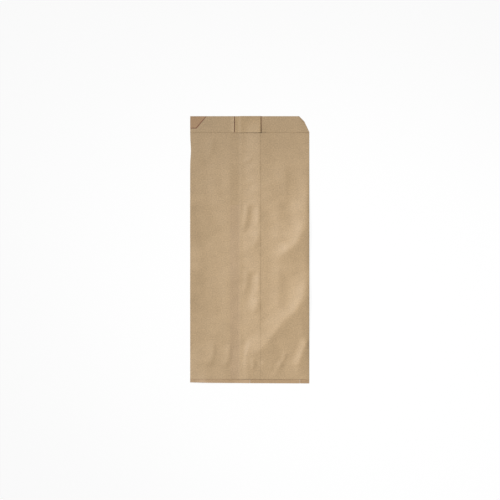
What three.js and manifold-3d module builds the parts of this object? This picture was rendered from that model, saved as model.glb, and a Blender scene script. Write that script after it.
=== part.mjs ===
// A flat kraft paper bag, empty and lying on its back panel with the pasted seam upwards.
// Millimetres. X runs across the bag, +Y towards the closed end and +Z up.
// The origin is under the middle of the bag, on the surface that it lies on.

import * as THREE from 'three';
import { mergeVertices } from 'three/addons/utils/BufferGeometryUtils.js';
import Module from 'manifold-3d';

// The sheet and the flat tube that it makes
const bagWidth = 120;
const bagLength = 269;
const paperThickness = 0.1;
const creaseGap = 0.1;

// How far the two panels spring apart, and over what length they close again
const panelLoft = 2.4;
const closedEndTaper = 80;
const mouthTaper = 70;
const mouthLoftShare = 0.55;

// The seam: the sheet's left side is pasted over its right side
const seamEdgeX = 10.8;
const seamOverlap = 20;
const seamDrape = 2;

// The closed end: both panels are folded onto the seam side and pasted down
const foldDepth = 16.6;
const tongueMargin = 5.75;
const slitWidth = 0.8;
const slitClearance = 0.2;

// The cut in the folded back panel's left corner, which bares the layer under it
const leftCutAlongFold = 16.7;
const leftCutAtSide = 6.4;
const leftCutDepth = 12.5;

// The cut through every layer at the right corner, and the top layer's wider chamfer
const rightCutAlongFold = 10.35;
const rightCutKinkIn = 5;
const rightCutKinkDown = 5.3;
const rightCutToFlapEdge = 0.6;
const topChamferAlongFold = 11.1;
const topChamferSlope = 0.733;

// The mouth: the back panel stands past the seam side as a lip, which has two nicks
const lipLength = 4;
const mouthSkew = 1;
const nickWidth = 0.35;
const nickEndWidth = 0.1;
const nickDepth = 3.8;
const middleNickX = 0.15;
const sideNickFromEdge = 9.5;

// Fineness of the curved surfaces, and the run of an edge that stands upright
const panelColumns = 10;
const seamColumns = 4;
const loftRows = 11;
const roundSegments = 4;
const edgeRun = 0.02;
const cutterMargin = 1;

const halfWidth = bagWidth / 2;
const halfLength = bagLength / 2;
const seamInnerX = seamEdgeX - seamOverlap;
const tubeThickness = 2 * paperThickness + creaseGap;
const flapEdgeY = halfLength - foldDepth;
const lowerFlapTop = tubeThickness + paperThickness;
const tallestStack = tubeThickness + panelLoft + 4 * paperThickness;
const tongueLeftX = seamInnerX - tongueMargin;
const tongueRightX = seamEdgeX + slitClearance;

const wasm = await Module();
wasm.setup();

function toSolid(geometry) {
  geometry.deleteAttribute('normal');
  geometry.deleteAttribute('uv');
  const merged = mergeVertices(geometry);
  const vertProperties = new Float32Array(merged.attributes.position.array);
  const triVerts = new Uint32Array(merged.index.array);
  return new wasm.Manifold(new wasm.Mesh({ numProp: 3, vertProperties, triVerts }));
}

function toGeometry(solid) {
  const mesh = solid.getMesh();
  const geometry = new THREE.BufferGeometry();
  geometry.setAttribute('position', new THREE.BufferAttribute(mesh.vertProperties, mesh.numProp));
  geometry.setIndex(new THREE.BufferAttribute(mesh.triVerts, 1));
  geometry.computeVertexNormals();
  return geometry;
}

// Evenly spaced values from one number to another, both included
function spread(from, to, intervals) {
  const step = (to - from) / intervals;
  return Array.from({ length: intervals + 1 }, (_, i) => from + i * step);
}

function smoothStep(share) {
  return THREE.MathUtils.smoothstep(share, 0, 1);
}

// The height that the seam side gains over the doubled sheet at the seam
function seamRise(x) {
  if (x > seamEdgeX) return 0;
  const share = (x - seamInnerX + seamDrape) / seamDrape;
  return paperThickness * THREE.MathUtils.clamp(share, 0, 1);
}

// The gap that opens between the panels: nothing at the folds, most in the middle
function panelGap(x, y) {
  const across = 1 - (x / halfWidth) ** 2;
  const nearClosedEnd = smoothStep((flapEdgeY - y) / closedEndTaper);
  const nearMouth = smoothStep((y + halfLength) / mouthTaper);
  return panelLoft * across * nearClosedEnd * THREE.MathUtils.lerp(mouthLoftShare, 1, nearMouth);
}

// The top of the bag: the seam side, with the folded end's two layers on it
function topHeight(x, y) {
  const face = tubeThickness + panelGap(x, y) + seamRise(x);
  return y < flapEdgeY ? face : face + 2 * paperThickness + seamRise(x);
}

// The mouth is cut slightly out of square, so the left side is the shorter one
function skewedY(x, y) {
  const share = Math.max(0, -y / halfLength);
  return y + (mouthSkew * share * (halfWidth - x)) / bagWidth;
}

// A block with its own columns across and rows along, whose points are then placed
function griddedBlock(columns, rows, levels, place) {
  const counts = [columns.length - 1, rows.length - 1, levels];
  const geometry = new THREE.BoxGeometry(1, 1, 1, ...counts);
  const position = geometry.attributes.position;
  for (let n = 0; n < position.count; n++) {
    const i = Math.round((position.getX(n) + 0.5) * counts[0]);
    const j = Math.round((position.getY(n) + 0.5) * counts[1]);
    const k = Math.round((position.getZ(n) + 0.5) * counts[2]);
    position.setXYZ(n, ...place(i, j, k));
  }
  return toSolid(geometry);
}

// A side fold seen in section: how far in from the fold, and how high, each level lies
function foldPoint(thickness, level) {
  const angle = (level / roundSegments - 0.5) * Math.PI;
  const radius = thickness / 2;
  return { inset: radius * (1 - Math.cos(angle)), height: radius * (1 + Math.sin(angle)) };
}

function columnsAcross(half) {
  const left = spread(-half, seamInnerX - seamDrape, panelColumns);
  const seam = spread(seamInnerX, seamEdgeX, seamColumns);
  const right = spread(seamEdgeX + edgeRun, half, panelColumns);
  return [...left, ...seam, ...right];
}

// The bag as if it were solid: round side folds, a round closed end and a flat underside
function makeOuterForm() {
  const columns = columnsAcross(halfWidth);
  const tubeRows = spread(-halfLength, flapEdgeY - edgeRun, loftRows);
  const rows = [...tubeRows, flapEdgeY, halfLength];
  const lastColumn = columns.length - 1;
  const lastRow = rows.length - 1;
  return griddedBlock(columns, rows, roundSegments, (i, j, k) => {
    let x = columns[i];
    let y = rows[j];
    let z = k === 0 ? 0 : topHeight(x, y);
    if (j === lastRow) {
      const end = foldPoint(topHeight(x, y), k);
      y -= end.inset;
      z = end.height;
    }
    if (i === 0 || i === lastColumn) {
      const side = foldPoint(topHeight(x, rows[j]), k);
      x -= Math.sign(x) * side.inset;
      z = side.height;
    }
    return [x, skewedY(x, y), z];
  });
}

// The space between the panels, open at the mouth and pressed shut at the folded end
function makePocket() {
  const half = halfWidth - paperThickness;
  const columns = columnsAcross(half);
  const rows = spread(-halfLength, flapEdgeY, loftRows);
  const lastColumn = columns.length - 1;
  return griddedBlock(columns, rows, roundSegments, (i, j, k) => {
    let x = columns[i];
    let z = paperThickness;
    if (k > 0) z += creaseGap + panelGap(x, rows[j]);
    if (i === 0 || i === lastColumn) {
      const side = foldPoint(creaseGap, k);
      x -= Math.sign(x) * side.inset;
      z = paperThickness + side.height;
    }
    const y = skewedY(x, rows[j]);
    return [x, j === 0 ? y - cutterMargin : y, z];
  });
}

// A cutter with the given outline, from a height to above everything
function cutterFrom(points, bottom) {
  const shape = new THREE.Shape(points.map(([x, y]) => new THREE.Vector2(x, y)));
  const depth = tallestStack + 2 * cutterMargin;
  const geometry = new THREE.ExtrudeGeometry(shape, { depth, bevelEnabled: false });
  geometry.translate(0, 0, bottom);
  return toSolid(geometry);
}

// The step at the mouth: over the lip the seam side is cut away
function makeMouthStep() {
  const out = halfWidth + cutterMargin;
  const lineAt = (x) => skewedY(x, -halfLength);
  return cutterFrom([
    [-out, lineAt(-out) - cutterMargin],
    [out, lineAt(out) - cutterMargin],
    [out, lineAt(out) + lipLength],
    [-out, lineAt(-out) + lipLength],
  ], paperThickness);
}

// A narrow notch in the lip, nearly as deep as the lip is long
function makeNick(x) {
  const line = skewedY(x, -halfLength);
  return cutterFrom([
    [x - nickWidth / 2, line - cutterMargin],
    [x + nickWidth / 2, line - cutterMargin],
    [x + nickEndWidth / 2, line + nickDepth],
    [x - nickEndWidth / 2, line + nickDepth],
  ], -cutterMargin);
}

// A slit in the top layer, beside the tongue that covers the seam
function makeSlit(leftX) {
  return cutterFrom([
    [leftX, flapEdgeY - cutterMargin],
    [leftX + slitWidth, flapEdgeY - cutterMargin],
    [leftX + slitWidth, halfLength + cutterMargin],
    [leftX, halfLength + cutterMargin],
  ], lowerFlapTop);
}

function makeLeftCornerCut() {
  const out = -halfWidth - cutterMargin;
  return cutterFrom([
    [out, halfLength - leftCutDepth],
    [-halfWidth + leftCutAtSide, halfLength - leftCutDepth],
    [-halfWidth + leftCutAlongFold, halfLength],
    [-halfWidth + leftCutAlongFold, halfLength + cutterMargin],
    [out, halfLength + cutterMargin],
  ], lowerFlapTop);
}

function makeRightCornerCut() {
  const out = halfWidth + cutterMargin;
  return cutterFrom([
    [halfWidth - rightCutAlongFold, halfLength + cutterMargin],
    [halfWidth - rightCutAlongFold, halfLength],
    [halfWidth - rightCutKinkIn, halfLength - rightCutKinkDown],
    [halfWidth, flapEdgeY + rightCutToFlapEdge],
    [out, flapEdgeY + rightCutToFlapEdge],
    [out, halfLength + cutterMargin],
  ], -cutterMargin);
}

function makeTopChamfer() {
  const out = halfWidth + cutterMargin;
  const down = (topChamferAlongFold + cutterMargin) / topChamferSlope;
  return cutterFrom([
    [halfWidth - topChamferAlongFold, halfLength + cutterMargin],
    [halfWidth - topChamferAlongFold, halfLength],
    [out, halfLength - down],
    [out, halfLength + cutterMargin],
  ], lowerFlapTop);
}

function makePaperBag() {
  const cutters = [
    makePocket(),
    makeMouthStep(),
    makeNick(middleNickX),
    makeNick(halfWidth - sideNickFromEdge),
    makeSlit(tongueLeftX - slitWidth),
    makeSlit(tongueRightX),
    makeLeftCornerCut(),
    makeRightCornerCut(),
    makeTopChamfer(),
  ];
  const solid = cutters.reduce((bag, cutter) => bag.subtract(cutter), makeOuterForm());
  const kraftPaper = new THREE.MeshStandardMaterial({ color: 0xbca381, roughness: 0.8, metalness: 0 });
  const mesh = new THREE.Mesh(toGeometry(solid), kraftPaper);
  mesh.name = 'paper_bag';
  return mesh;
}

const bag = new THREE.Group();
bag.add(makePaperBag());

export default bag;
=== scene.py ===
# A flat kraft paper bag, empty, lying on its back panel with the pasted seam upwards.
# X runs across the bag, +Y towards the closed end and +Z up, as in the frame.
# The paper is shaped in millimetres and turned into metres when it is done.

import math
from dataclasses import dataclass, replace

import bmesh
import bpy
import numpy as np
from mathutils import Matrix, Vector


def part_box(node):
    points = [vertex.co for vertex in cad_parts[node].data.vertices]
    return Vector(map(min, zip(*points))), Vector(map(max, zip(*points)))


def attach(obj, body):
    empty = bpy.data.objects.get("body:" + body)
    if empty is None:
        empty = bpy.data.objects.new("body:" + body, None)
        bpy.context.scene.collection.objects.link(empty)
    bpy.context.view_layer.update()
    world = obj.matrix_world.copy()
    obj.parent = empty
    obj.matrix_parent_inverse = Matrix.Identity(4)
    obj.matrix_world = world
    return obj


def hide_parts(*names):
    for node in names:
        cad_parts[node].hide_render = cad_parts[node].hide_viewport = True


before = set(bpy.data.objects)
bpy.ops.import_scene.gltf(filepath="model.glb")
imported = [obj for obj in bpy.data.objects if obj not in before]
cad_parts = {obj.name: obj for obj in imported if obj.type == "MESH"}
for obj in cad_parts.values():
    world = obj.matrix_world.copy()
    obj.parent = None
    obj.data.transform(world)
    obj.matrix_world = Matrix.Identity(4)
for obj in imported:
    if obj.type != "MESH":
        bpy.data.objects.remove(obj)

MM = 0.001
NODE = "paper_bag"
PIECE = "paper_bag_sheet"

# The bag's size, from the frame
CAD_LOW, CAD_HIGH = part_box(NODE)
BAG_WIDTH = (CAD_HIGH.x - CAD_LOW.x) / MM
BAG_LENGTH = (CAD_HIGH.y - CAD_LOW.y) / MM
HALF_WIDTH = BAG_WIDTH / 2
HALF_LENGTH = BAG_LENGTH / 2

# The paper, and how far apart two layers of it lie
PAPER = 0.1
LAYER_PITCH = 0.13

# The seam: the sheet's left side is pasted over its right side
SEAM_EDGE_X = 10.8
SEAM_OVERLAP = 20.0
SEAM_INNER_X = SEAM_EDGE_X - SEAM_OVERLAP
SEAM_DRAPE = 2.0

# The sheet laid out flat: u runs across it from the seam's inner edge, v along it
RIGHT_FOLD = HALF_WIDTH - SEAM_INNER_X
LEFT_FOLD = RIGHT_FOLD + BAG_WIDTH
SIDE_FOLD = 0.1

# The closed end: the flattened tube is folded over onto the seam side
FLAP_DEPTH = 16.6
FLAP_EDGE_Y = HALF_LENGTH - FLAP_DEPTH
END_BEND = 0.7
END_FOLD = HALF_LENGTH - 0.25
BEND_MIDDLE = END_FOLD + END_BEND / 2
SHEET_END = 2 * END_FOLD + END_BEND - FLAP_EDGE_Y
LOWER_FLAP_SHORT = 0.8

# The mouth: the back panel stands past the seam side as a lip
LIP = 4.0
LIP_START = -HALF_LENGTH + LIP
MOUTH_SKEW = 1.1
MOUTH_SKEW_POWER = 1.6
MOUTH_SKEW_REACH = 12.0
MOUTH_EXTRA = 0.4
NICK_WIDTH = 0.25
NICK_END_WIDTH = 0.08
NICK_DEPTH = 3.8
MIDDLE_NICK_X = 0.15
SIDE_NICK_X = HALF_WIDTH - 9.5

# The cuts in the folded end, as seen from above
TONGUE_LEFT_X = SEAM_INNER_X - 5.75
TONGUE_RIGHT_X = SEAM_EDGE_X + 0.2
SLIT = 0.8
LEFT_SLIT = (TONGUE_LEFT_X - SLIT, TONGUE_LEFT_X)
RIGHT_SLIT = (TONGUE_RIGHT_X, TONGUE_RIGHT_X + SLIT)
LEFT_CUT_TOP_X = -HALF_WIDTH + 16.7
LEFT_CUT_SIDE_X = -HALF_WIDTH + 6.4
LEFT_CUT_Y = HALF_LENGTH - 12.5
RIGHT_CUT_TOP_X = HALF_WIDTH - 10.35
RIGHT_CUT_KINK = (HALF_WIDTH - 5.0, HALF_LENGTH - 5.3)
RIGHT_CUT_Y = FLAP_EDGE_Y + 0.6
CHAMFER_TOP_X = HALF_WIDTH - 11.1
CHAMFER_SLOPE = 0.733

# How far a cut's outline runs past the sheet, how near it faces are cut, and how near a point is on it
PAST = 1.0
CUT_MARGIN = 3.0
CUT_TOLERANCE = 0.01

# The painted shadow along the left cut on the bared layer, how far it runs on under the top layer's edge,
# and the band beside the seam with painted shade
SHADOW_LINE = 0.8
SHADOW_UNDER = 0.3
STRIP_LEFT_X = -20.0
STRIP_TURN_Y = 45.0

# Tints of the parts with painted shade, times the plain paper's colour
PLAIN_TINT = (1.0, 1.0, 1.0)
# Painted shadow: the bared layer in the slits and along the left cut is darkened as if shaded by the top
# layer's edges
PAINTED_SHADOW_TINT = (0.45, 0.24, 0.18)
# Painted shade: the bared left corner lies deeper and is darkened and reddened as if in shade
PATCH_SHADE_TINT = (0.954, 0.858, 0.81)
# Painted shade: less blue on the tongue, toning down the sheen it gets from its tilt
TONGUE_SHADE_TINT = (0.98, 0.96, 0.9)
# Painted shade: the band beside the seam is faintly darker, in its lower part and its upper part
STRIP_SHADE_TINT = (0.969, 0.962, 1.0)
STRIP_TOP_SHADE_TINT = (0.96, 0.955, 0.945)
# The lip: partly the paper's own darker tone, partly painted shade; its right corner is darker still with
# painted shade
LIP_TONE_AND_SHADE_TINT = (0.934, 0.909, 0.902)
LIP_CORNER_SHADE_TINT = (0.86, 0.82, 0.8)

# Fineness of the mesh, and its first lines beside a side fold and the closed end's bend
FACE_STEP = 1.25
BACK_STEP = 2.0
ROW_STEP = 1.35
FLAP_STEP = 1.1
LIP_STEP = 1.0
EDGE_STEP = 0.4
FOLD_GUARD = 0.25
FOLD_CLEAR = 0.45
BEND_GUARD = 0.2
BEND_CLEAR = 0.6
BEND_SEGMENTS = 4

# How far the panels spring apart, less so at the folded end, the side folds and the mouth
LOFT = 0.5
LOFT_AT_FLAP = 0.15
CLOSED_TAPER = 75.0
CLOSED_PINCH = 14.0
LEFT_ROUNDING = 7.0
RIGHT_ROUNDING = 1.6
MOUTH_PRESS = 0.5
MOUTH_TAPER = 20.0
LEAST_GAP = 0.15

# How far both panels curl up off the table at the sides, less so near the mouth
LEFT_CURL = 1.2
LEFT_CURL_REACH = 23.0
RIGHT_CURL = 0.6
RIGHT_CURL_REACH = 38.0
SIDE_CURL_AT_MOUTH = 0.25
SIDE_CURL_TAPER = 60.0

# The curl of the mouth's left part, and where both panels first leave the table
MOUTH_CURL = 0.9
MOUTH_CURL_REACH = 18.0
MOUTH_CURL_POWER = 1.6
MOUTH_CURL_END_X = -8.0
MOUTH_CURL_RUN = 20.0
LIFT_START_Y = FLAP_EDGE_Y + 6
LIFT_RUN_IN = 58.0

# The unevenness of the face, made of random waves
COCKLE_SLOPE = 0.007
COCKLE_SEED = 11
COCKLE_WAVES = 28
COCKLE_LENGTHS = (10, 46)
COCKLE_TAPER = 60.0

# The ridges and dents near the bag's middle come twice, this far apart along it
REPEAT_STEP = -67.4

# How far the parts of the folded end's top layer stand off the layer under it
TONGUE_LIFT = 0.22
TONGUE_RIGHT_LIFT = 0.2
TONGUE_RIGHT_RISE = 0.3
LEFT_SLIT_LIFT = 0.3
LEFT_SLIT_REACH = 1.6
RIGHT_SLIT_LIFT = 0.2
RIGHT_SLIT_REACH = 6.0
CHAMFER_LIFT = 0.3
CHAMFER_LIFT_X = CHAMFER_TOP_X + 2
CHAMFER_REACH = 5.0
RIGHT_END_LIFT = 0.2
RIGHT_END_X = 44.0
RIGHT_END_REACH = 8.0
LEFT_END_LIFT = 0.02
LEFT_END_REACH = 6.0

# How far the lip's outer parts bend up, and the left edge's slight wave near the closed end
LIP_LEFT_RISE = 0.5
LIP_LEFT_REACH = 20.0
LIP_RIGHT_RISE = 0.05
LIP_RISE_POWER = 1.2
EDGE_WAVE = 0.7
EDGE_WAVE_Y = 100.0
EDGE_WAVE_REACH = 9.0


def spread(start, stop, step):
    """Evenly spaced values with both ends, no further apart than the step."""
    count = max(1, math.ceil(abs(stop - start) / step))
    return np.linspace(start, stop, count + 1)


def smooth(share):
    """A smooth rise from 0 to 1."""
    share = np.clip(share, 0, 1)
    return share * share * (3 - 2 * share)


def bell(offset, width):
    """1 where the offset is nothing, falling off on either side."""
    return np.exp(-((offset / width) ** 2))


def near_mouth(y, reach):
    """1 at the mouth, falling to nothing at the given distance from it."""
    return np.clip((reach - HALF_LENGTH - y) / reach, 0, 1)


# Ridges and creases


@dataclass(frozen=True)
class Ridge:
    """A ridge, or a valley where the height is negative. Its path runs from the closed end to the mouth.

    It slopes down over the widths to its west and east, and rises and dies out over the lengths of its
    fades. A larger crest makes its top rounder, and a higher power makes its foot flatter.
    """

    path: list
    height: float
    west: float
    east: float
    fade_in: float = 10
    fade_out: float = 10
    crest: float = 0.8
    power: float = 1.6

    def moved(self, dy):
        return replace(self, path=[(x, y + dy) for x, y in self.path])


def curve_through(points, pieces=7):
    """A smooth line through the points."""
    padded = np.array([points[0], *points, points[-1]], float)
    line = []
    for a, b, c, d in zip(padded, padded[1:], padded[2:], padded[3:]):
        for t in np.linspace(0, 1, pieces, endpoint=False):
            square = (2 * a - 5 * b + 4 * c - d) * t**2
            cube = (3 * b - a - 3 * c + d) * t**3
            line.append(0.5 * (2 * b + (c - a) * t + square + cube))
    line.append(padded[-1])
    return np.array(line)


def ridge_height(ridge, x, y):
    """How much the ridge adds at each place."""
    line = curve_through(ridge.path)
    nearest = np.full(x.shape, np.inf)
    side = np.zeros(x.shape)
    along = np.zeros(x.shape)
    run = 0.0
    for (ax, ay), (bx, by) in zip(line, line[1:]):
        dx, dy = bx - ax, by - ay
        length = math.hypot(dx, dy)
        t = np.clip(((x - ax) * dx + (y - ay) * dy) / length**2, 0, 1)
        away = np.hypot(x - ax - t * dx, y - ay - t * dy)
        closer = away < nearest
        nearest = np.where(closer, away, nearest)
        side = np.where(closer, dx * (y - ay) - dy * (x - ax), side)
        along = np.where(closer, run + t * length, along)
        run += length
    width = np.where(side > 0, ridge.east, ridge.west)
    rounded = np.sqrt(nearest**2 + ridge.crest**2) - ridge.crest
    profile = np.clip(1 - rounded / width, 0, 1) ** ridge.power
    fade = smooth(along / ridge.fade_in) * smooth((run - along) / ridge.fade_out)
    return ridge.height * profile * fade


def repeated(ridges):
    """The same ridges and, further along the bag, the same ones again."""
    return ridges + [ridge.moved(REPEAT_STEP) for ridge in ridges]


def sheet_ridges():
    """What lifts both panels: the side folds' waves, the long curved ridges and two ridges at the mouth."""
    bend = [(57.5, 58), (56.5, 34), (53.8, 19.7), (46.5, 5.6), (39.6, -0.5), (32.6, -6.4), (20, -17.5)]
    return repeated([
        Ridge(bend, 2.55, 29, 36, 46, 26, crest=2.5, power=2.2),
        Ridge([(55, 84), (55, 62), (54, 30)], 0.5, 17, 40, 34, 16, crest=3),
        Ridge([(-60, 56), (-60, 30), (-60, 0)], 1.3, 10, 28, 14, 20),
    ]) + [
        Ridge([(-43, -94), (-44, -144)], 1.2, 18, 50, 20, 3, crest=3),
        Ridge([(2, -98), (-0.5, -112), (-0.5, -144)], 1.0, 15, 44, 26, 3, crest=1.5),
    ]


def swoosh_ends():
    """The face's own ridge beside each long curved one, and the lower one's run towards the seam."""
    tail = [(38, -70), (29.6, -78.9), (20.4, -91), (12.3, -99), (5.3, -105), (-1, -113)]
    return repeated([
        Ridge([(30, 54), (29.5, 25), (28, 6)], 0.5, 9, 16, 10, 8, crest=2.5),
    ]) + [Ridge(tail, 1.5, 16, 28, 16, 20, power=1.3)]


def seam_relief():
    """The ridge and the valley along the seam, and the leaf-shaped dents between them."""
    return [
        Ridge([(9.5, 134), (9.5, 50), (9.5, -51), (9.3, -97)], 0.6, 17, 46, 6, 20),
        Ridge([(9.5, 134), (9.5, 80), (9.5, 50)], 0.3, 17, 24, 6, 40),
        Ridge([(-7.5, 134), (-7.5, 80), (-7.5, 0), (-7.5, -130)], -0.4, 15, 12, 8, 30),
    ] + repeated([
        Ridge([(3, 46), (0.8, 28), (-5.4, 13)], -0.5, 4, 10, 5, 8),
        Ridge([(-2.8, 48), (-3.8, 35), (-6.8, 22)], 0.16, 3, 4, 5, 6),
        Ridge([(8.5, 46), (8.8, 34), (7, 22)], 0.22, 3, 4, 4, 8),
        Ridge([(8, 20), (7.5, 10), (2, 1)], 0.42, 9, 6, 6, 6),
        Ridge([(-7.5, 47), (-9.8, 30), (-9.8, 12)], -0.12, 9, 5, 8, 8),
    ])


def upper_relief():
    """The faint ridges and short creases nearer the closed end."""
    return [
        Ridge([(36, 92), (36, 40)], 0.6, 22, 12, 12, 16),
        Ridge([(-37, 116), (-39, 102), (-45, 88)], 0.25, 10, 6, 8, 10),
        Ridge([(3.3, 92), (-1.8, 90), (-6.8, 89)], 0.2, 2.2, 2.5, 3, 3),
        Ridge([(2.3, 66), (-2.8, 68), (-7.8, 64)], 0.22, 2.5, 2.5, 3, 3),
        Ridge([(11.5, 70), (13, 65), (12.5, 60)], 0.1, 2, 2, 2, 3),
    ]


def mouth_relief():
    """The streaks and small creases near the mouth."""
    return [
        Ridge([(-37, -88), (-37, -106), (-41, -117)], 0.35, 7, 4, 14, 3),
        Ridge([(-20, -86), (-21, -106), (-25, -119)], 0.35, 6, 4, 14, 3),
        Ridge([(2, -88), (-1.5, -101), (-3.3, -111), (-3.8, -134)], 0.35, 4, 20, 12, 3),
        Ridge([(1, -109), (4, -115), (2, -122)], 0.45, 3, 3.5, 4, 3),
        Ridge([(10, -113), (16, -118), (24, -121)], 0.45, 3, 5, 4, 3),
        Ridge([(32.4, -113), (24.4, -130)], 0.4, 6, 5, 4, 4),
        Ridge([(36, -103), (34, -111), (29, -118)], 0.45, 4, 3.5, 4, 3),
        Ridge([(52.6, -62), (52.6, -90)], 0.2, 4, 4, 8, 8),
        Ridge([(59, -90), (54.6, -100), (50.4, -112), (48.5, -119)], 1.0, 7, 9.5, 5, 3, crest=1.3),
        Ridge([(48.5, -117), (52.6, -125), (53.6, -131)], 0.45, 5, 8, 4, 4),
        Ridge([(47.5, -115), (47.5, -131)], 0.35, 7, 4, 4, 4),
    ]


def face_ridges():
    return swoosh_ends() + seam_relief() + upper_relief() + mouth_relief()


def cockle(x, y):
    """A slight unevenness of the whole face."""
    random = np.random.default_rng(COCKLE_SEED)
    height = np.zeros(x.shape)
    for _ in range(COCKLE_WAVES):
        wave = random.uniform(*COCKLE_LENGTHS)
        turn = random.uniform(0, math.tau)
        phase = random.uniform(0, math.tau)
        amount = COCKLE_SLOPE * wave / math.tau
        height += amount * np.sin(math.tau / wave * (x * math.cos(turn) + y * math.sin(turn)) + phase)
    return height


def panel_gap(x, y):
    """How far the face stands above the back panel, beyond the paper itself."""
    inset = np.maximum(HALF_WIDTH - np.abs(x), 0)
    edge = 1 - np.exp(-inset / np.where(x < 0, LEFT_ROUNDING, RIGHT_ROUNDING))
    closing = smooth((FLAP_EDGE_Y - y) / CLOSED_TAPER)
    height = LOFT * (LOFT_AT_FLAP + (1 - LOFT_AT_FLAP) * closing)
    for ridge in face_ridges():
        height = height + ridge_height(ridge, x, y)
    height = height + cockle(x, y) * smooth((HALF_LENGTH - y) / COCKLE_TAPER)
    height = (height + np.sqrt(height**2 + LEAST_GAP**2)) / 2
    closed_end = smooth((HALF_LENGTH - y) / CLOSED_PINCH)
    mouth = 1 - MOUTH_PRESS * smooth((LIP_START + MOUTH_TAPER - y) / MOUTH_TAPER)
    return height * edge * closed_end * mouth


def sheet_curl(x, y):
    """How far both panels stand off the table, at the curled edges and over the ridges of both."""
    left = np.clip((-x - HALF_WIDTH + LEFT_CURL_REACH) / LEFT_CURL_REACH, 0, 1) ** 2
    right = np.clip((x - HALF_WIDTH + RIGHT_CURL_REACH) / RIGHT_CURL_REACH, 0, 1) ** 2
    along = smooth((y + HALF_LENGTH) / SIDE_CURL_TAPER)
    height = LEFT_CURL * left + RIGHT_CURL * right
    height = height * (SIDE_CURL_AT_MOUTH + (1 - SIDE_CURL_AT_MOUTH) * along)
    for ridge in sheet_ridges():
        height = height + ridge_height(ridge, x, y)
    mouth = near_mouth(y, MOUTH_CURL_REACH) ** MOUTH_CURL_POWER
    mouth = mouth * smooth((MOUTH_CURL_END_X - x) / MOUTH_CURL_RUN)
    return height * smooth((LIFT_START_Y - y) / LIFT_RUN_IN) + MOUTH_CURL * mouth


# Folding the sheet


def place_across(u):
    """x of each point of the sheet, and its side: 0 on the back panel, 1 on the face, a share in a fold."""
    on_right = u < (RIGHT_FOLD + LEFT_FOLD) / 2
    past = np.where(on_right, RIGHT_FOLD - u, u - LEFT_FOLD)
    turn = np.clip(past / SIDE_FOLD, -1, 1) * math.pi / 2
    reach = HALF_WIDTH - SIDE_FOLD + SIDE_FOLD * np.cos(turn) - np.maximum(np.abs(past) - SIDE_FOLD, 0)
    return np.where(on_right, reach, -reach), (1 + np.sin(turn)) / 2


def seam_step(x):
    """1 where the face is doubled at the seam, with a short slope on either side."""
    left = (x - SEAM_INNER_X + SEAM_DRAPE) / SEAM_DRAPE
    right = (SEAM_EDGE_X + SEAM_DRAPE - x) / SEAM_DRAPE
    return np.clip(np.minimum(left, right), 0, 1)


def flap_lift(x, y):
    """How far the folded end's top layer stands off the layer under it."""
    depth = np.clip((HALF_LENGTH - y) / FLAP_DEPTH, 0, 1)
    on_tongue = (x > TONGUE_LEFT_X - SLIT / 2) & (x < TONGUE_RIGHT_X + SLIT / 2)
    share = np.clip((x - TONGUE_LEFT_X) / (TONGUE_RIGHT_X - TONGUE_LEFT_X), 0, 1)
    tongue = TONGUE_LIFT * depth**2
    tongue = tongue + (TONGUE_RIGHT_LIFT + TONGUE_RIGHT_RISE * depth) * share**2 * smooth(depth * 4)
    left_slit = LEFT_SLIT_LIFT * bell(x - LEFT_SLIT[0], LEFT_SLIT_REACH) * smooth(depth * 5)
    left_end = LEFT_END_LIFT * smooth(depth * 3) * smooth((x + HALF_WIDTH) / LEFT_END_REACH)
    right_slit = RIGHT_SLIT_LIFT * depth**2 * bell(x - RIGHT_SLIT[1], RIGHT_SLIT_REACH)
    chamfer = CHAMFER_LIFT * bell(x - CHAMFER_LIFT_X, CHAMFER_REACH) * smooth(depth * 6) * (1 - depth)
    right_end = RIGHT_END_LIFT * depth**3 * smooth((x - RIGHT_END_X) / RIGHT_END_REACH)
    pressed = LAYER_PITCH * smooth((FLAP_EDGE_Y + LOWER_FLAP_SHORT - y) / LOWER_FLAP_SHORT)
    others = np.where(x < 0, left_slit + left_end, right_slit + chamfer + right_end)
    return np.where(on_tongue, tongue, others - pressed)


def lip_height(x, share):
    """The lip's three parts stand differently: the outer two bend up, and the middle one lies flat."""
    left = LIP_LEFT_RISE * smooth((x + HALF_WIDTH) / LIP_LEFT_REACH)
    rise = np.where(x < MIDDLE_NICK_X, left, np.where(x < SIDE_NICK_X, 0.0, LIP_RIGHT_RISE))
    return share**LIP_RISE_POWER * rise


def place(u, v):
    """The folded place of each point of the sheet's middle surface, in millimetres."""
    x, side = place_across(u)
    lap = np.where(u > LEFT_FOLD, seam_step(x), 0)
    layer = PAPER / 2 + LAYER_PITCH * (side + lap)
    axis = PAPER / 2 + LAYER_PITCH * (1.5 + seam_step(x))
    folded = np.clip((v - END_FOLD) / END_BEND, 0, 1)
    radius = axis - layer
    y = np.minimum(v, END_FOLD) + radius * np.sin(folded * math.pi)
    y = y - np.maximum(v - END_FOLD - END_BEND, 0)
    z = axis - radius * np.cos(folded * math.pi)
    z = z + np.maximum(side, folded) * panel_gap(x, y) + sheet_curl(x, y)
    z = z + np.where(folded >= 1, (1 - side) * flap_lift(x, y), 0)
    z = z + (1 - side) * lip_height(x, np.clip((LIP_START - v) / LIP, 0, 1))
    skew = MOUTH_SKEW * np.clip((HALF_WIDTH - x) / BAG_WIDTH, 0, 1) ** MOUTH_SKEW_POWER
    y = y + (skew - MOUTH_EXTRA) * near_mouth(v, MOUTH_SKEW_REACH) ** 2
    x = x + EDGE_WAVE * bell(y - EDGE_WAVE_Y, EDGE_WAVE_REACH) * ((HALF_WIDTH - x) / BAG_WIDTH) ** 3
    return x, y, z


# The flat sheet, and where a place on the bag lies on it


def on_back(x):
    return RIGHT_FOLD + HALF_WIDTH - x


def on_face_left(x):
    return LEFT_FOLD + HALF_WIDTH + x


def on_face_right(x):
    return x - SEAM_INNER_X


def on_flap(y):
    return 2 * END_FOLD + END_BEND - y


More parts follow.
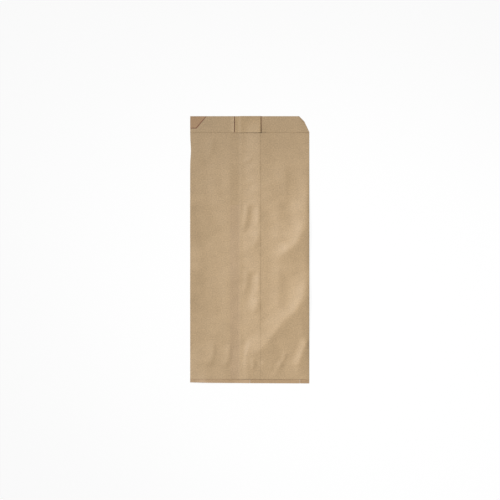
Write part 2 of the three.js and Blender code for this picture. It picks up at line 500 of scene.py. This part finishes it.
def sheet_columns():
    """Over the seam every layer has its columns at the same places, so that the layers bend alike."""
    fold = np.array([-FOLD_GUARD, -SIDE_FOLD, -SIDE_FOLD / 2, 0, SIDE_FOLD / 2, SIDE_FOLD, FOLD_GUARD])
    overlap = spread(SEAM_INNER_X, SEAM_EDGE_X, FACE_STEP)
    left_end = SEAM_INNER_X - SEAM_DRAPE
    right_end = SEAM_EDGE_X + SEAM_DRAPE
    left_drape = spread(left_end, SEAM_INNER_X, FACE_STEP)[:-1]
    right_drape = spread(SEAM_EDGE_X, right_end, FACE_STEP)[1:]
    return np.concatenate([
        on_face_right(np.concatenate([overlap, right_drape])),
        spread(on_face_right(right_end), RIGHT_FOLD - FOLD_CLEAR, FACE_STEP)[1:],
        RIGHT_FOLD + fold,
        spread(RIGHT_FOLD + FOLD_CLEAR, on_back(right_end), BACK_STEP)[:-1],
        on_back(np.concatenate([left_drape, overlap, right_drape])[::-1]),
        spread(on_back(left_end), LEFT_FOLD - FOLD_CLEAR, BACK_STEP)[1:],
        LEFT_FOLD + fold,
        spread(LEFT_FOLD + FOLD_CLEAR, on_face_left(left_end), FACE_STEP)[:-1],
        on_face_left(np.concatenate([left_drape, overlap])),
    ])


def sheet_rows():
    bend = np.linspace(0, END_BEND, BEND_SEGMENTS + 1)
    lower_end = SHEET_END - LOWER_FLAP_SHORT
    return np.concatenate([
        spread(-HALF_LENGTH, LIP_START, LIP_STEP),
        spread(LIP_START + ROW_STEP, END_FOLD - BEND_CLEAR, ROW_STEP),
        END_FOLD + np.array([-BEND_GUARD, *bend, END_BEND + BEND_GUARD]),
        spread(END_FOLD + END_BEND + BEND_CLEAR, lower_end - EDGE_STEP, FLAP_STEP),
        spread(lower_end, SHEET_END, EDGE_STEP),
    ])


def flat_sheet():
    columns = sheet_columns()
    rows = sheet_rows()
    bm = bmesh.new()
    grid = [[bm.verts.new((u, v, 0)) for u in columns] for v in rows]
    for lower, upper in zip(grid, grid[1:]):
        for a, b, c, d in zip(lower, lower[1:], upper[1:], upper):
            bm.faces.new((a, b, c, d))
    return bm


# The cuts and the stained parts


def inside(point, outline):
    """Whether the point lies inside the outline."""
    found = False
    for (ax, ay), (bx, by) in zip(outline, outline[1:] + outline[:1]):
        if (ay > point.y) != (by > point.y):
            if point.x < ax + (point.y - ay) / (by - ay) * (bx - ax):
                found = not found
    return found


def faces_near(bm, outline):
    """The faces whose first corner lies in or near the outline's box."""
    low_u, low_v = (np.min(outline, axis=0) - CUT_MARGIN).tolist()
    high_u, high_v = (np.max(outline, axis=0) + CUT_MARGIN).tolist()
    near = []
    for face in bm.faces:
        at = face.verts[0].co
        if low_u < at.x < high_u and low_v < at.y < high_v:
            near.append(face)
    return near


def faces_cut_to(bm, outline):
    """Cuts the faces along the outline and returns those inside it."""
    for (au, av), (bu, bv) in zip(outline, outline[1:] + outline[:1]):
        near = faces_near(bm, outline)
        parts = set(near)
        for face in near:
            parts.update(face.edges)
            parts.update(face.verts)
        across = (bv - av, au - bu, 0)
        start = (au, av, 0)
        bmesh.ops.bisect_plane(bm, geom=list(parts), dist=CUT_TOLERANCE, plane_co=start, plane_no=across)
    return [face for face in faces_near(bm, outline) if inside(face.calc_center_median(), outline)]


def rectangle(left, right, low, high):
    return [(left, low), (right, low), (right, high), (left, high)]


def flap_band(x1, x2, to_sheet):
    """The outline of the folded end from one x to another, on one layer of the sheet."""
    return rectangle(*sorted((to_sheet(x1), to_sheet(x2))), BEND_MIDDLE, SHEET_END + PAST)


def left_cut(to_sheet, grown):
    """The left corner's outline on one layer, moved outwards by the given distance."""
    bottom = on_flap(LEFT_CUT_Y - grown)
    outer = to_sheet(-HALF_WIDTH)
    return [
        (outer, BEND_MIDDLE),
        (to_sheet(LEFT_CUT_TOP_X + grown), BEND_MIDDLE),
        (to_sheet(LEFT_CUT_SIDE_X + grown), bottom),
        (outer, bottom),
    ]


def right_cut():
    """The right corner's outline through every layer: the sheet is folded there both ways."""
    kink_x, kink_y = RIGHT_CUT_KINK
    return [
        (on_face_right(RIGHT_CUT_TOP_X), BEND_MIDDLE),
        (on_face_right(kink_x), kink_y),
        (RIGHT_FOLD, RIGHT_CUT_Y),
        (on_back(kink_x), kink_y),
        (on_back(RIGHT_CUT_TOP_X), BEND_MIDDLE),
        (on_back(kink_x), on_flap(kink_y)),
        (RIGHT_FOLD, on_flap(RIGHT_CUT_Y)),
        (on_face_right(kink_x), on_flap(kink_y)),
    ]


def top_chamfer():
    """The outline of the wider cut at the right corner, through the top layer alone."""
    down = (HALF_WIDTH - CHAMFER_TOP_X) / CHAMFER_SLOPE
    return [
        (on_back(CHAMFER_TOP_X), BEND_MIDDLE),
        (RIGHT_FOLD, BEND_MIDDLE),
        (RIGHT_FOLD, on_flap(HALF_LENGTH - down)),
    ]


def nick(x):
    """The outline of a narrow notch in the lip, nearly as deep as the lip is long."""
    u = on_back(x)
    mouth = -HALF_LENGTH
    return [
        (u - NICK_WIDTH / 2, mouth - PAST),
        (u + NICK_WIDTH / 2, mouth - PAST),
        (u + NICK_END_WIDTH / 2, mouth + NICK_DEPTH),
        (u - NICK_END_WIDTH / 2, mouth + NICK_DEPTH),
    ]


def shade_strip(low, high):
    """The outline of part of the face's band beside the seam, which has a faint painted shade."""
    right_x = SEAM_INNER_X - SEAM_DRAPE / 2
    return rectangle(on_face_left(STRIP_LEFT_X), on_face_left(right_x), low, high)


def lip_part(x1, x2):
    """The outline of the lip from one x to another, on the back panel."""
    return rectangle(on_back(x2), on_back(x1), -HALF_LENGTH - PAST, LIP_START)


def trim_face(bm):
    """The face stops short of the lip, and its folded end stops short of the top layer's edge."""
    trimmed = []
    for face in bm.faces:
        at = face.calc_center_median()
        beyond = at.y < LIP_START or at.y > SHEET_END - LOWER_FLAP_SHORT
        if beyond and not RIGHT_FOLD < at.x < LEFT_FOLD:
            trimmed.append(face)
    bmesh.ops.delete(bm, geom=trimmed, context="FACES")


def mark_painted_shade(bm):
    """Painted shadow darkens the bared layer in the slits and along the left cut; fainter painted shade
    darkens the bared corner, the tongue, a band beside the seam and the lip.
    """
    # The tint attribute carries the painted shade of each marked part
    tint = bm.faces.layers.float_vector.new("tint")
    for face in bm.faces:
        face[tint] = PLAIN_TINT
    painted_shade = [
        (flap_band(*LEFT_SLIT, on_face_left), PAINTED_SHADOW_TINT),
        (flap_band(*RIGHT_SLIT, on_face_right), PAINTED_SHADOW_TINT),
        (left_cut(on_face_left, SHADOW_UNDER), PAINTED_SHADOW_TINT),
        (left_cut(on_face_left, -SHADOW_LINE), PATCH_SHADE_TINT),
        (flap_band(TONGUE_LEFT_X, TONGUE_RIGHT_X, on_back), TONGUE_SHADE_TINT),
        (shade_strip(-HALF_LENGTH, STRIP_TURN_Y), STRIP_SHADE_TINT),
        (shade_strip(STRIP_TURN_Y, END_FOLD), STRIP_TOP_SHADE_TINT),
        (lip_part(-HALF_WIDTH, SIDE_NICK_X), LIP_TONE_AND_SHADE_TINT),
        (lip_part(SIDE_NICK_X, HALF_WIDTH), LIP_CORNER_SHADE_TINT),
    ]
    for outline, colour in painted_shade:
        for face in faces_cut_to(bm, outline):
            face[tint] = colour


def cut_sheet(bm):
    """Cuts the corners, both slits and both nicks."""
    outlines = [
        right_cut(),
        top_chamfer(),
        flap_band(*LEFT_SLIT, on_back),
        flap_band(*RIGHT_SLIT, on_back),
        left_cut(on_back, 0),
        nick(MIDDLE_NICK_X),
        nick(SIDE_NICK_X),
    ]
    for outline in outlines:
        bmesh.ops.delete(bm, geom=faces_cut_to(bm, outline), context="FACES")


def fold_sheet(bm):
    """Keeps each point's place on the flat sheet as its texture place, then folds the sheet."""
    texture = bm.loops.layers.uv.new("sheet")
    for face in bm.faces:
        face.smooth = True
        for loop in face.loops:
            loop[texture].uv = loop.vert.co.xy * MM
    flat = np.array([vert.co for vert in bm.verts])
    folded = np.stack(place(flat[:, 0], flat[:, 1]), axis=1) * MM
    for vert, point in zip(bm.verts, folded):
        vert.co = point
    for edge in bm.edges:
        edge.smooth = not edge.is_boundary


def make_sheet(materials):
    """The sheet is cut and its painted shade marked flat, then folded, and then given its thickness."""
    bm = flat_sheet()
    trim_face(bm)
    cut_sheet(bm)
    mark_painted_shade(bm)
    fold_sheet(bm)
    mesh = bpy.data.meshes.new(PIECE)
    bm.to_mesh(mesh)
    bm.free()
    for material in materials:
        mesh.materials.append(material)
    sheet = bpy.data.objects.new(PIECE, mesh)
    bpy.context.scene.collection.objects.link(sheet)
    thicken = sheet.modifiers.new("paper", "SOLIDIFY")
    thicken.thickness = PAPER * MM
    thicken.offset = 0
    thicken.material_offset = 1
    thicken.material_offset_rim = 2
    return sheet


# Kraft paper


class Nodes:
    """Short calls for building a material's nodes."""

    def __init__(self, material):
        self.tree = material.node_tree
        self.tree.nodes.clear()

    def add(self, kind, **settings):
        node = self.tree.nodes.new(kind)
        for name, value in settings.items():
            setattr(node, name, value)
        return node

    def link(self, source, target):
        self.tree.links.new(source, target)

    def noise(self, vector, scale, detail, roughness=0.5):
        node = self.add("ShaderNodeTexNoise", noise_dimensions="3D")
        node.inputs["Scale"].default_value = scale
        node.inputs["Detail"].default_value = detail
        node.inputs["Roughness"].default_value = roughness
        self.link(vector, node.inputs["Vector"])
        return node.outputs["Fac"]

    def stretched(self, vector, scale):
        node = self.add("ShaderNodeMapping")
        node.inputs["Scale"].default_value = scale
        self.link(vector, node.inputs["Vector"])
        return node.outputs["Vector"]

    def blended(self, first, second, share):
        node = self.add("ShaderNodeMix", data_type="FLOAT")
        node.inputs["Factor"].default_value = share
        self.link(first, node.inputs["A"])
        self.link(second, node.inputs["B"])
        return node.outputs["Result"]

    def ramp(self, value, stops):
        node = self.add("ShaderNodeValToRGB")
        ramp = node.color_ramp
        while len(ramp.elements) < len(stops):
            ramp.elements.new(0.5)
        for element, (position, colour) in zip(ramp.elements, stops):
            element.position = position
            element.color = (*colour, 1)
        self.link(value, node.inputs["Fac"])
        return node.outputs["Color"]

    def ranged(self, value, low, high):
        node = self.add("ShaderNodeMapRange")
        node.inputs["To Min"].default_value = low
        node.inputs["To Max"].default_value = high
        self.link(value, node.inputs["Value"])
        return node.outputs["Result"]


WHITE = (1, 1, 1)
KRAFT = (0.49, 0.34, 0.186)
INNER_TINT = (0.985, 0.96, 0.945)
EDGE_TINT = (1.1, 1.1, 1.12)
DARK_TONE = 0.78
LIGHT_TONE = 1.22
FLECK_TONE = 0.62
CLOUD_SCALE = 110
GRAIN_SCALE = 800
FIBRE_SCALE = (4200, 700, 1)
FLECK_SCALE = (1500, 900, 1)
GRAIN_SHARE = 0.82
FIBRE_SHARE = 0.3
FLECK_SHARE = 0.5
GLAZE = 0.9
ROUGHNESS = (0.48, 0.6)
BUMP_STRENGTH = 0.35
BUMP_HEIGHT = 0.00003


def tone(colour, factor):
    return tuple(channel * factor for channel in colour)


def kraft_paper(name, tint, painted_shade=False):
    """Unbleached paper: a cloudy tone, short fibres, a few flecks and a slight machine-glazed sheen."""
    material = bpy.data.materials.new(name)
    material.use_nodes = True
    nodes = Nodes(material)
    base = tuple(a * b for a, b in zip(KRAFT, tint))
    uv = nodes.add("ShaderNodeUVMap", uv_map="sheet").outputs["UV"]
    clouds = nodes.noise(uv, CLOUD_SCALE, 3)
    grain = nodes.noise(uv, GRAIN_SCALE, 3, 0.6)
    fibres = nodes.noise(nodes.stretched(uv, FIBRE_SCALE), 1, 3, 0.6)
    flecks = nodes.noise(nodes.stretched(uv, FLECK_SCALE), 1, 1)
    mottle = nodes.blended(clouds, grain, GRAIN_SHARE)
    surface = nodes.blended(mottle, fibres, FIBRE_SHARE)
    tones = [(0.35, tone(base, DARK_TONE)), (0.5, base), (0.65, tone(base, LIGHT_TONE))]
    colour = nodes.ramp(surface, tones)
    fleck_colour = nodes.ramp(flecks, [(0.2, tone(base, FLECK_TONE)), (0.27, WHITE), (0.8, WHITE)])
    flecked = nodes.add("ShaderNodeMix", data_type="RGBA", blend_type="DARKEN")
    flecked.inputs["Factor"].default_value = FLECK_SHARE
    nodes.link(colour, flecked.inputs["A"])
    nodes.link(fleck_colour, flecked.inputs["B"])
    finished = flecked.outputs["Result"]
    # The tint attribute multiplies in the painted shade of the marked parts
    if painted_shade:
        part = nodes.add("ShaderNodeAttribute", attribute_name="tint")
        tinted = nodes.add("ShaderNodeMix", data_type="RGBA", blend_type="MULTIPLY")
        tinted.inputs["Factor"].default_value = 1.0
        nodes.link(finished, tinted.inputs["A"])
        nodes.link(part.outputs["Color"], tinted.inputs["B"])
        finished = tinted.outputs["Result"]
    shader = nodes.add("ShaderNodeBsdfPrincipled")
    nodes.link(finished, shader.inputs["Base Color"])
    nodes.link(nodes.ranged(mottle, *ROUGHNESS), shader.inputs["Roughness"])
    shader.inputs["Specular IOR Level"].default_value = GLAZE
    bump = nodes.add("ShaderNodeBump")
    bump.inputs["Strength"].default_value = BUMP_STRENGTH
    bump.inputs["Distance"].default_value = BUMP_HEIGHT
    nodes.link(nodes.blended(grain, fibres, 0.5), bump.inputs["Height"])
    nodes.link(bump.outputs["Normal"], shader.inputs["Normal"])
    output = nodes.add("ShaderNodeOutputMaterial")
    nodes.link(shader.outputs["BSDF"], output.inputs["Surface"])
    return material


# The stage in metres, degrees and watts, and the camera's lens and sensor in millimetres

FLOOR_SIZE = 3.0
FLOOR_BELOW = 0.00005
FLOOR_GLOW = 0.93
AMBIENT = 0.27
KEY_DISTANCE = 5.0
KEY_ELEVATION = 42.0
KEY_TURN = 28.8
KEY_POWER = 1152.0
KEY_RADIUS = 0.12
KEY_CONE = 8.49
KEY_AIM = (0.154, -0.097, 0.0)
CAMERA_PLACE = (0.00025, -0.0004)
CAMERA_LENS = 100.0
CAMERA_SENSOR = 36.0
CAMERA_CLIP = (0.05, 20)
PICTURE_WIDTH = 0.50305


def make_floor():
    """White where the camera sees it, with a trace of the bag's shadow, and matt white for other light."""
    material = bpy.data.materials.new("white_table")
    material.use_nodes = True
    nodes = Nodes(material)
    rays = nodes.add("ShaderNodeLightPath")
    seen = nodes.add("ShaderNodeMath", operation="MAXIMUM")
    nodes.link(rays.outputs["Is Camera Ray"], seen.inputs[0])
    nodes.link(rays.outputs["Is Transmission Ray"], seen.inputs[1])
    share = nodes.ranged(seen.outputs["Value"], 0, FLOOR_GLOW)
    diffuse = nodes.add("ShaderNodeBsdfDiffuse")
    diffuse.inputs["Color"].default_value = (*WHITE, 1)
    glow = nodes.add("ShaderNodeEmission")
    glow.inputs["Color"].default_value = (*WHITE, 1)
    glow.inputs["Strength"].default_value = 1.0
    mixed = nodes.add("ShaderNodeMixShader")
    nodes.link(share, mixed.inputs["Fac"])
    nodes.link(diffuse.outputs["BSDF"], mixed.inputs[1])
    nodes.link(glow.outputs["Emission"], mixed.inputs[2])
    output = nodes.add("ShaderNodeOutputMaterial")
    nodes.link(mixed.outputs["Shader"], output.inputs["Surface"])
    bpy.ops.mesh.primitive_plane_add(size=FLOOR_SIZE, location=(0, 0, CAD_LOW.z - FLOOR_BELOW))
    floor = bpy.context.object
    floor.name = "floor"
    floor.data.materials.append(material)


def make_world():
    """White where the camera sees it, and a dimmer even light for everything else."""
    world = bpy.data.worlds.new("white_room")
    world.use_nodes = True
    bpy.context.scene.world = world
    nodes = Nodes(world)
    rays = nodes.add("ShaderNodeLightPath")
    tones = nodes.ramp(rays.outputs["Is Camera Ray"], [(0, tone(WHITE, AMBIENT)), (1, WHITE)])
    background = nodes.add("ShaderNodeBackground")
    background.inputs["Strength"].default_value = 1.0
    nodes.link(tones, background.inputs["Color"])
    output = nodes.add("ShaderNodeOutputWorld")
    nodes.link(background.outputs["Background"], output.inputs["Surface"])


def make_key():
    """A light from the left and a little from the closed end, whose edge fades out over the closed end."""
    light = bpy.data.lights.new("key", "SPOT")
    light.energy = KEY_POWER
    light.shadow_soft_size = KEY_RADIUS
    light.spot_size = math.radians(KEY_CONE)
    light.spot_blend = 1.0
    low = math.radians(KEY_ELEVATION)
    turn = math.radians(KEY_TURN)
    towards = Vector((-math.cos(low) * math.cos(turn), math.cos(low) * math.sin(turn), math.sin(low)))
    lamp = bpy.data.objects.new("key", light)
    bpy.context.scene.collection.objects.link(lamp)
    lamp.location = Vector(KEY_AIM) + KEY_DISTANCE * towards
    lamp.rotation_euler = towards.to_track_quat("Z", "Y").to_euler()


def make_camera():
    """Square on above the bag, as in the photo."""
    camera = bpy.data.cameras.new("camera")
    camera.lens = CAMERA_LENS
    camera.sensor_width = CAMERA_SENSOR
    camera.clip_start, camera.clip_end = CAMERA_CLIP
    holder = bpy.data.objects.new("camera", camera)
    bpy.context.scene.collection.objects.link(holder)
    distance = PICTURE_WIDTH * CAMERA_LENS / CAMERA_SENSOR
    holder.location = (*CAMERA_PLACE, CAD_HIGH.z + distance)
    bpy.context.scene.camera = holder


def make_bag():
    """The bag is one piece, with a material each for the paper's outer side, inner side and cut edge."""
    materials = [
        kraft_paper("kraft_outer", PLAIN_TINT, painted_shade=True),
        kraft_paper("kraft_inner", INNER_TINT, painted_shade=True),
        kraft_paper("kraft_edge", EDGE_TINT),
    ]
    sheet = make_sheet(materials)
    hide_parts(NODE)
    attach(sheet, "root")


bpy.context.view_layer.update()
make_bag()
make_floor()
make_world()
make_key()
make_camera()
bpy.context.scene.view_settings.view_transform = "Standard"
